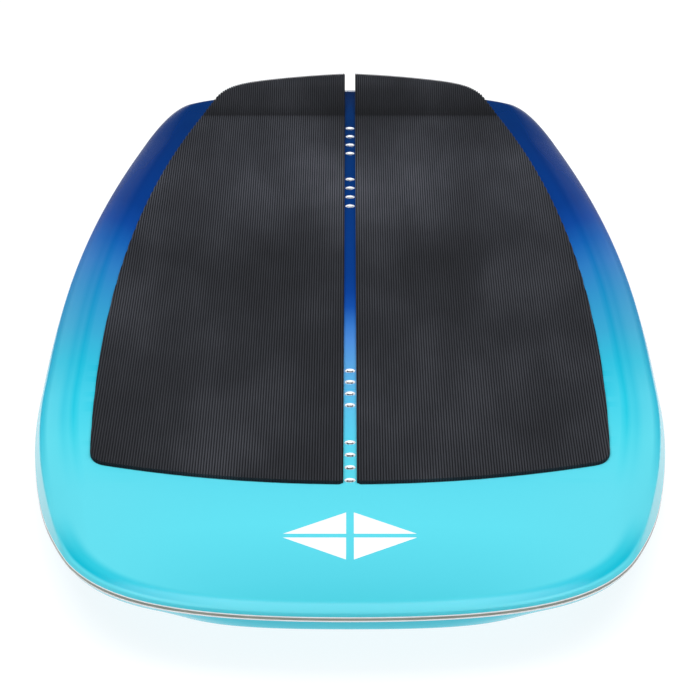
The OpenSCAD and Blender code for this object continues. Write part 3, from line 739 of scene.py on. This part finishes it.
def make_materials():
    """Every finish of the board, by a short name."""
    scene = bpy.context.scene
    strip_grey, paper = scene.board_hull.strip_grey, scene.board_stage.paper
    nylon, plastic = scene.board_fittings.nylon, scene.board_fittings.plastic
    # polyester lacquer over an airbrushed epoxy laminate: even, deep colour with a wet gloss
    lacquered = {"Roughness": 0.2, "IOR": 1.4, "Specular_IOR_Level": 0.35}
    # closed-cell foam: dark, dry and matte
    dry = {"Roughness": 0.95, "Specular_IOR_Level": 0.15}
    MATERIALS.update(
        deck=new_material("airbrushed_gloss_lacquer", deck_look, **lacquered),
        bottom=new_material("bottom_gloss_lacquer", bottom_look, **lacquered),
        # painted lines sealed under the lacquer: clean white with a soft gloss
        pin=new_material("white_pinline_lacquer", mottled("f2f5f6", "ffffff", 20), Roughness=0.25, IOR=1.45),
        # ABS rail strip: dull warm grey
        strip=new_material("grey_ABS_rail", mottled("868b81", strip_grey, 15, 0.6), Roughness=0.45, IOR=1.5),
        # moulded EVA sheet with broad patches of painted sheen, its groove floors painted darker as shade,
        # and the cut foam under it
        rubber=new_material("ribbed_EVA", rubber_look, **dry),
        # painted shade: the groove floors of the same EVA, painted darker
        groove=new_material(
            "ribbed_EVA_groove_shade", mottled("191a1c", "1e1f22", 4), Roughness=1.0, Specular_IOR_Level=0.05
        ),
        foam=new_material("cut_EVA_foam", foam_look, **dry),
        # stainless steel, turned on a lathe: bright rings
        steel=new_material("turned_stainless_steel", turned_look, Metallic=1.0, Roughness=0.28),
        # the same steel, bead-blasted in the countersink: nearly white
        blasted=new_material(
            "blasted_stainless_steel", mottled("e9ebec", "f6f7f8", 2, 0.2, 0.2), Metallic=0.35, Roughness=0.6
        ),
        # milled brass, a little tarnished: warm and half bright
        brass=new_material("milled_brass", brass_look, Metallic=1.0, Roughness=0.32),
        # glass-filled nylon, moulded: near black with a faint fibre grain
        nylon=new_material(
            "glass_filled_nylon", mottled("1a1c1e", nylon, 8, 0.5, 0.25), Roughness=0.55, IOR=1.53
        ),
        # moulded ABS: charcoal with a fine spark-eroded grain
        plastic=new_material(
            "moulded_ABS", mottled("232528", plastic, 10, 0.4, 0.15), Roughness=0.42, IOR=1.53
        ),
        # stretched PTFE: chalk white and dry
        membrane=new_material("vent_PTFE_membrane", mottled("ececea", "f8f8f6", 2, 0.2, 0.4), Roughness=0.9),
        # nitrile rubber: black with a dull skin
        nitrile=new_material("nitrile_rubber", mottled("121314", "1c1d1f", 2, 0.3, 0.1), Roughness=0.6),
        # PVC foam: fine, stiff and honey yellow
        dense=new_material("dense_PVC_foam", mottled("cdb36a", "dcc584", 6, 0.6, 0.3), Roughness=0.85),
        # expanded foam: white beads with shade between them
        beads=new_material("expanded_foam_beads", beads_look, Roughness=0.85),
        # sawn paulownia: pale, dry and open-grained
        wood=new_material("sawn_paulownia", wood_look, Roughness=0.6),
        # seamless studio paper, lit from all round
        paper=new_material(
            "lit_studio_paper",
            mottled("808182", paper, 400),
            Roughness=0.95,
            Emission_Color=(1.0, 1.0, 1.0, 1.0),
            Emission_Strength=0.85,
            Specular_IOR_Level=0.0,
        ),
    )


def put_on(material, *nodes):
    """Gives frame nodes that keep their own shape a material."""
    for name in nodes:
        mesh = NODES[name].data
        mesh.materials.clear()
        mesh.materials.append(MATERIALS[material])


# ---- Pieces ----


class BOARD_OT_hull(bpy.types.Operator):
    """Deck, bottom and rail strip with rounded creases"""

    bl_idname = "board.hull"
    bl_label = "Hull"

    def execute(self, context):
        sizes = context.scene.board_hull
        crease, edge = sizes.crease_cut / MM, sizes.edge_cut / MM
        deck_lines, bottom_lines, strip_lines = [], [], []
        white, deep = sizes.pinline / MM, sizes.recess / MM
        for s in SECTIONS:
            # the deck's outer line from the flat to the rail, and back inside
            inner = [
                (SKIN, s.rail_top),
                (s.edge + 0.8 * SKIN, s.deck[2][1] - 0.8 * SKIN),
                (s.crease + 0.1, s.deck[0][1] - SKIN),
            ]
            reach = s.crease + crease + 1
            flat = (reach, deck_z(s.y_at(reach)))
            deck_lines.append(rounded([flat, *s.deck], [crease, SOFT, edge]) + [Vector(p) for p in inner])
            # the bottom's outer line from the rail to the flat, and back inside
            chine, panel = s.bottom[2], s.bottom[3]
            reach = panel[0] + 10
            flat = (reach, bottom_z(s.y_at(reach)))
            bottom = rounded([*s.bottom, flat], [SOFT, sizes.chine_cut / MM, sizes.panel_cut / MM])
            inner = [
                (panel[0], panel[1] + SKIN),
                (chine[0] + 0.45 * SKIN, chine[1] + 0.9 * SKIN),
                (SKIN, s.rail_low),
            ]
            bottom_lines.append(bottom + [Vector(p) for p in inner])
            # the strip's two white lines stand proud of the grey between them
            top, low = s.rail_top, s.rail_low
            strip = [
                (STRIP_IN, top),
                (0, top),
                (-PROUD, top - 0.3),
                (-PROUD, top - white),
                (deep, top - white - 0.1),
                (deep, low + white + 0.1),
                (-PROUD, low + white),
                (-PROUD, low + 0.3),
                (0, low),
                (STRIP_IN, low),
            ]
            strip_lines.append([Vector(p) for p in strip])
        self.deck(deck_lines)
        self.bottom(bottom_lines)
        self.strip(strip_lines)
        return {"FINISHED"}

    def deck(self, lines):
        bm, bands = hull_shell(lines)
        cap(bm, bands[0])
        cap(bm, bands[-1])
        bmesh.ops.recalc_face_normals(bm, faces=bm.faces)
        piece = finish_piece(bm, "deck_skin_finish", [MATERIALS["deck"]])
        holes = bmesh.new()
        for x, y, r in insert_places():
            post(holes, (x, y, 0.05), r + 0.0001, 0.04, 40)
        cut(piece, cutter(holes, "insert_holes"))
        shade(piece, 35)

    def bottom(self, lines):
        bm, bands = hull_shell(lines)
        outer = len(lines[0]) - 3
        cap(bm, bands[outer - 1])
        cap(bm, bands[outer])
        # the outer and inner flats are closed apart, so the band between them goes, and the rim closes
        bmesh.ops.delete(bm, geom=bands_between(bm, bands[outer - 1], bands[outer]), context="FACES")
        bmesh.ops.bridge_loops(bm, edges=bands[0][1] + bands[-1][1])
        bmesh.ops.recalc_face_normals(bm, faces=bm.faces)
        piece = finish_piece(bm, "bottom_skin_finish", [MATERIALS["bottom"]])
        holes = bmesh.new()
        low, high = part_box("track_plate")
        middle, wide = (low + high) / 2, high - low
        size = Matrix.Diagonal((wide.x + 0.0004, wide.y + 0.0004, 0.02, 1))
        bmesh.ops.create_cube(holes, size=1, matrix=Matrix.Translation((middle.x, middle.y, 0)) @ size)
        low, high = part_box("vent_housing")
        middle, r = (low + high) / 2, (high.x - low.x) / 2
        post(holes, (middle.x, middle.y, 0), r + 0.00015, 0.02, 64)
        cut(piece, cutter(holes, "plate_and_vent"))
        shade(piece, 35)
        bm = merged_copy("track_plate")
        bevel_edges(bm, 0.0002, over=60)
        finish_piece(bm, "track_plate_finish", [MATERIALS["bottom"]])

    def strip(self, lines):
        bm, bands = hull_shell(lines)
        for f in bands_between(bm, bands[4], bands[5]):
            f.material_index = 1
        bmesh.ops.bridge_loops(bm, edges=bands[0][1] + bands[-1][1])
        bmesh.ops.recalc_face_normals(bm, faces=bm.faces)
        finish_piece(bm, "rail_strip_finish", [MATERIALS["pin"], MATERIALS["strip"]])


def post(bm, middle, r, depth, segments):
    """Adds an upright cylinder."""
    place = Matrix.Translation(middle)
    bmesh.ops.create_cone(
        bm, cap_ends=True, segments=segments, radius1=r, radius2=r, depth=depth, matrix=place
    )


def bands_between(bm, above, below):
    """The faces that join two rings."""
    high, low = set(above[0]), set(below[0])
    return [f for f in bm.faces if set(f.verts) <= high | low and high & set(f.verts) and low & set(f.verts)]


# an insert's length and the radius of its bore, in metres
INSERT_L, BORE = 0.018, 0.0025
INSERT_GROUPS = [
    "front_strap_front_inserts",
    "front_strap_rear_inserts",
    "rear_strap_front_inserts",
    "rear_strap_rear_inserts",
]


def insert_places(groups=None):
    """Place and radius of every insert of the groups, in metres."""
    places = []
    for name in groups or INSERT_GROUPS:
        low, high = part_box(name)
        r = (high.x - low.x) / 2
        step = (high.y - low.y - 2 * r) / 3
        places += [((low.x + high.x) / 2, low.y + r + i * step, r) for i in range(4)]
    return places


class BOARD_OT_inserts(bpy.types.Operator):
    """Threaded strap inserts: a countersunk mouth, a plain bore and a cut thread"""

    bl_idname = "board.inserts"
    bl_label = "Strap inserts"

    def execute(self, context):
        sizes = context.scene.board_fittings
        for name in INSERT_GROUPS:
            bm = bmesh.new()
            uv = bm.loops.layers.uv.new("UVMap")
            places = insert_places([name])
            for x, y, r in places:
                top = deck_z(y / MM) * MM + 0.00005
                rim, sink = sizes.rim, sizes.sink
                # the outside, the countersink, the plain bore, the thread and the closed foot
                plain = sink + 0.0024
                line = [
                    (r, -INSERT_L),
                    (r, -rim),
                    (r - rim, 0),
                    (r - 1.6 * rim, -0.3 * rim),
                    (BORE + 0.0003, -sink),
                    (BORE, -sink - 0.0003),
                    (BORE, -plain + 0.0001),
                ]
                turns = int((INSERT_L - plain - 0.002) / sizes.thread_pitch)
                for k in range(turns):
                    z = -plain - k * sizes.thread_pitch
                    line += [
                        (BORE, z - 0.15 * sizes.thread_pitch),
                        (BORE + sizes.thread_depth, z - 0.5 * sizes.thread_pitch),
                        (BORE, z - 0.85 * sizes.thread_pitch),
                    ]
                line += [(0.0, -INSERT_L + 0.001), (0.0, -INSERT_L)]
                verts = [bm.verts.new((x + a, y, top + b)) for a, b in line]
                edges = [bm.edges.new(pair) for pair in zip(verts, verts[1:] + verts[:1])]
                bmesh.ops.spin(
                    bm,
                    geom=verts + edges,
                    cent=(x, y, 0),
                    axis=(0, 0, 1),
                    angle=math.tau,
                    steps=32,
                    use_merge=True,
                )
            bmesh.ops.remove_doubles(bm, verts=bm.verts, dist=0.000005)
            bmesh.ops.dissolve_degenerate(bm, dist=0.000001, edges=bm.edges)
            bmesh.ops.recalc_face_normals(bm, faces=bm.faces)
            # each insert's own coordinates, and the blasted steel of its countersink
            for f in bm.faces:
                centre = f.calc_center_median()
                x, y, _ = min(places, key=lambda p: abs(p[1] - centre.y))
                for loop in f.loops:
                    loop[uv].uv = (loop.vert.co.x - x, loop.vert.co.y - y)
                away = (centre.xy - Vector((x, y))).length
                cone = away > 0.0027 and centre.z > deck_z(y / MM) * MM - sizes.sink
                f.material_index = 1 if cone else 0
            finishes = [MATERIALS["steel"], MATERIALS["blasted"]]
            finish_piece(bm, name + "_finish", finishes, sharp=30)
        return {"FINISHED"}


class Kick:
    """The raised tail of the pads, in millimetres, from the frame's wedge."""

    def __init__(self):
        low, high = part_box("right_kick_wedge")
        self.crease, self.inner, self.outer = low.y / MM, low.x / MM, high.x / MM
        # its height, its thinnest edge, how it narrows to the rear, and its rear edge's radius
        self.height, self.lip, self.taper, self.round_r = 15.0, 0.6, 0.14, 340.0
        self.rear = TAIL - 10
        self.length = self.rear - self.crease

    def rise(self, x, y):
        """How far the wedge stands over the deck."""
        x = abs(x)
        rear = self.rear - x * x / (2 * self.round_r)
        v = min(1.1, max(0.0, (y - self.crease) / (rear - self.crease)))
        if v <= 0:
            return 0.0
        width = self.outer - self.taper * v * self.length - self.inner
        u = min(1.0, max(0.0, (x - self.inner) / width))
        across = 1 - 0.35 * u - 0.65 * u**11
        return self.lip * min(1, v * 20) + (self.height - self.lip) * v**1.15 * across

    def base(self, co):
        """Height in metres of the surface that the sheet lies on, at a place in metres."""
        return (deck_z(co.y / MM) + self.rise(co.x / MM, co.y / MM)) * MM


def trimmed(bm, node, margin=0.0):
    """Cuts a sheet to the outline in plan of a frame node."""
    points = [(v.co.x, v.co.y) for v in NODES[node].data.vertices]
    hull = [Vector(points[i]) for i in convex_hull_2d([Vector(p) for p in points])]
    middle = sum(hull, Vector((0, 0))) / len(hull)
    for a, b in zip(hull, hull[1:] + hull[:1]):
        if (b - a).length < 0.0002:
            continue
        side = Vector((b.y - a.y, a.x - b.x)).normalized()
        if side.dot(middle - a) > 0:
            side.negate()
        bmesh.ops.bisect_plane(
            bm,
            geom=bm.verts[:] + bm.edges[:] + bm.faces[:],
            dist=0.0000005,
            plane_co=(*(a - side * margin), 0),
            plane_no=(*side, 0),
            clear_outer=True,
        )


class BOARD_OT_pads(bpy.types.Operator):
    """Ribbed deck pads and the kick wedges under their rear ends"""

    bl_idname = "board.pads"
    bl_label = "Deck pads"

    def execute(self, context):
        sizes = context.scene.board_pads
        kick = Kick()
        for side in ("left", "right"):
            self.sheet(f"{side}_deck_pad", sizes, kick)
            self.wedge(f"{side}_kick_wedge", kick)
        return {"FINISHED"}

    def sheet(self, name, sizes, kick):
        low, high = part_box(name)
        pitch, top, deep = sizes.rib_pitch, sizes.rib_top, sizes.groove_depth
        slope = (pitch - top) * 0.28
        # one rib: groove floor, flank, flat top, flank
        profile = [(0, -deep), (pitch - top - 2 * slope, -deep), (pitch - top - slope, 0), (pitch - slope, 0)]
        ribs = int((high.x - low.x) / pitch) + 2
        middle = (low.x + high.x) / 2
        first = middle - ribs * pitch / 2
        columns = [(first + i * pitch + x, z) for i in range(ribs) for x, z in profile]
        flat, raised = sizes.rows, sizes.kick_rows
        crease = kick.crease * MM
        rows = [low.y - 0.001 + (crease - low.y + 0.001) * i / flat for i in range(flat)]
        rows += [crease + (high.y + 0.001 - crease) * i / raised for i in range(raised + 1)]
        bm = bmesh.new()
        bmesh.ops.create_grid(bm, x_segments=len(columns) - 1, y_segments=len(rows) - 1, size=1)
        for v in bm.verts:
            i = round((v.co.x + 1) / 2 * (len(columns) - 1))
            j = round((v.co.y + 1) / 2 * (len(rows) - 1))
            x, groove = columns[i]
            v.co = (x, rows[j], 0)
            v.co.z = kick.base(v.co) + sizes.thickness + groove
        # the grooves' floors, given a darker material as painted shade
        level = sizes.thickness - deep / 2
        for f in bm.faces:
            if all(v.co.z < kick.base(v.co) + level for v in f.verts):
                f.material_index = 1
        trimmed(bm, name, 0.00002)
        lifted = bmesh.ops.extrude_face_region(bm, geom=bm.faces[:], use_keep_orig=True)
        for v in (g for g in lifted["geom"] if isinstance(g, bmesh.types.BMVert)):
            v.co.z = kick.base(v.co) + 0.00002
        bmesh.ops.recalc_face_normals(bm, faces=bm.faces)
        finishes = [MATERIALS["rubber"], MATERIALS["groove"]]
        piece = finish_piece(bm, name + "_finish", finishes, sharp=30)

    def wedge(self, name, kick):
        low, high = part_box(name)
        bm = bmesh.new()
        bmesh.ops.create_grid(bm, x_segments=40, y_segments=20, size=1)
        for v in bm.verts:
            x = low.x - 0.001 + (v.co.x + 1) / 2 * (high.x - low.x + 0.002)
            y = low.y + (v.co.y + 1) / 2 * (high.y - low.y + 0.001)
            v.co = (x, y, (deck_z(y / MM) + max(0.3, kick.rise(x / MM, y / MM))) * MM)
        trimmed(bm, name, 0.00005)
        lifted = bmesh.ops.extrude_face_region(bm, geom=bm.faces[:], use_keep_orig=True)
        for v in (g for g in lifted["geom"] if isinstance(g, bmesh.types.BMVert)):
            v.co.z = deck_z(v.co.y / MM) * MM + 0.00002
        bmesh.ops.recalc_face_normals(bm, faces=bm.faces)
        piece = finish_piece(bm, name + "_finish", [MATERIALS["foam"]], sharp=40)


class BOARD_OT_tracks(bpy.types.Operator):
    """Foil tracks and their sliding nuts, with rounded edges"""

    bl_idname = "board.tracks"
    bl_label = "Foil tracks"

    def execute(self, context):
        sizes = context.scene.board_fittings
        for side in ("left", "right"):
            name = f"{side}_foil_track"
            bm = merged_copy(name)
            bevel_edges(bm, sizes.track_bevel, over=40)
            finish_piece(bm, name + "_finish", [MATERIALS["nylon"]], sharp=30)
            for end in ("front", "rear"):
                nut = f"{end}_{side}_nut"
                bm = merged_copy(nut)
                bevel_edges(bm, sizes.nut_bevel, over=40)
                finish_piece(bm, nut + "_finish", [MATERIALS["brass"]], body=nut, sharp=30)
        return {"FINISHED"}


class BOARD_OT_vent(bpy.types.Operator):
    """Pressure vent: housing, cap, membrane and seal"""

    bl_idname = "board.vent"
    bl_label = "Vent"

    def execute(self, context):
        for name in ("vent_housing", "vent_cap"):
            bm = merged_copy(name)
            bevel_edges(bm, context.scene.board_fittings.vent_bevel, over=40)
            finish_piece(bm, name + "_finish", [MATERIALS["plastic"]], sharp=30)
        put_on("membrane", "vent_membrane")
        put_on("nitrile", "vent_o_ring")
        return {"FINISHED"}


class BOARD_OT_core(bpy.types.Operator):
    """Foam cores, stringer and the dense blocks inside the hull"""

    bl_idname = "board.core"
    bl_label = "Core"

    def execute(self, context):
        put_on("beads", "left_foam_core", "right_foam_core")
        put_on("wood", "centre_stringer")
        put_on("dense", "left_track_block", "right_track_block")
        put_on("dense", *(name.replace("_inserts", "_block") for name in INSERT_GROUPS))
        return {"FINISHED"}


# the studio's glow, from the horizon up to the zenith
SKY = [
    (0.0, "9a9ea4"),
    (0.14, "6c7076"),
    (0.25, "1c1e22"),
    (0.6, "2a2c30"),
    (0.85, "c8ccd2"),
    (1.0, "e8eaee"),
]


class BOARD_OT_stage(bpy.types.Operator):
    """Camera, pale floor and soft studio light"""

    bl_idname = "board.stage"
    bl_label = "Stage"

    def execute(self, context):
        sizes = context.scene.board_stage
        camera = bpy.data.objects.new("camera", bpy.data.cameras.new("camera"))
        context.collection.objects.link(camera)
        camera.location = (0, -sizes.distance, sizes.height)
        camera.rotation_euler = (math.pi / 2 - sizes.tilt, 0, 0)
        camera.data.lens, camera.data.sensor_width = sizes.lens, 36
        camera.data.clip_end = 100
        context.scene.camera = camera
        bm = bmesh.new()
        bmesh.ops.create_grid(bm, x_segments=1, y_segments=1, size=30)
        bmesh.ops.translate(bm, verts=bm.verts, vec=(0, 0, CAD_BOX[0].z - 0.0005))
        mesh = bpy.data.meshes.new("floor")
        bm.to_mesh(mesh)
        bm.free()
        floor = bpy.data.objects.new("floor", mesh)
        context.collection.objects.link(floor)
        mesh.materials.append(MATERIALS["paper"])
        # place, tilt in degrees, size in metres and power in watts
        self.light("overhead", (0, 0.3, 3.0), 0, 4.0, 116)
        self.light("front", (0, -3.2, 2.6), 52, 2.5, 20)
        self.world(context)
        context.scene.view_settings.view_transform = "Standard"
        return {"FINISHED"}

    def light(self, name, place, tilt, size, power):
        lamp = bpy.data.lights.new(name, "AREA")
        lamp.shape, lamp.size, lamp.energy = "SQUARE", size, power
        made = bpy.data.objects.new(name, lamp)
        bpy.context.collection.objects.link(made)
        made.location, made.rotation_euler = place, (math.radians(tilt), 0, 0)

    def world(self, context):
        """A bright horizon and zenith with a darker belt between them, and plain white behind everything."""
        world = bpy.data.worlds.new("studio")
        context.scene.world = world
        world.use_nodes = True
        tree = world.node_tree
        tree.nodes.clear()
        way = add(tree, "ShaderNodeTexCoord").outputs["Generated"]
        up = add(tree, "ShaderNodeSeparateXYZ", {0: way}).outputs[2]
        glow = ramp(tree, up, SKY)
        soft = add(tree, "ShaderNodeBackground", {"Color": glow, "Strength": 1.0}).outputs[0]
        behind = {"Color": (0.93, 0.94, 0.95, 1), "Strength": 1.0}
        plain = add(tree, "ShaderNodeBackground", behind).outputs[0]
        seen = add(tree, "ShaderNodeLightPath").outputs["Is Camera Ray"]
        both = add(tree, "ShaderNodeMixShader", {0: seen, 1: soft, 2: plain}).outputs[0]
        add(tree, "ShaderNodeOutputWorld", {"Surface": both})


class BOARD_PT_panel(bpy.types.Panel):
    bl_label = "Foil board"
    bl_idname = "BOARD_PT_panel"
    bl_space_type = "VIEW_3D"
    bl_region_type = "UI"
    bl_category = "Foil board"

    def draw(self, context):
        for group in SETTINGS:
            column = self.layout.column(align=True)
            settings = getattr(context.scene, group)
            for name in settings.bl_rna.properties.keys():
                if name not in ("rna_type", "name"):
                    column.prop(settings, name)
        for operator in PIECES:
            self.layout.operator(operator.bl_idname)


SETTINGS = {
    "board_hull": HullSettings,
    "board_pads": PadSettings,
    "board_fittings": FittingSettings,
    "board_stage": StageSettings,
}
PIECES = [
    BOARD_OT_stage,
    BOARD_OT_hull,
    BOARD_OT_pads,
    BOARD_OT_inserts,
    BOARD_OT_tracks,
    BOARD_OT_vent,
    BOARD_OT_core,
]
CLASSES = [*SETTINGS.values(), *PIECES, BOARD_PT_panel]


def register():
    for cls in CLASSES:
        bpy.utils.register_class(cls)
    for name, group in SETTINGS.items():
        setattr(bpy.types.Scene, name, PointerProperty(type=group))


def unregister():
    for name in SETTINGS:
        delattr(bpy.types.Scene, name)
    for cls in reversed(CLASSES):
        bpy.utils.unregister_class(cls)


def main():
    register()
    make_materials()
    for operator in PIECES:
        category, name = operator.bl_idname.split(".")
        getattr(getattr(bpy.ops, category), name)()


if __name__ == "__main__":
    main()
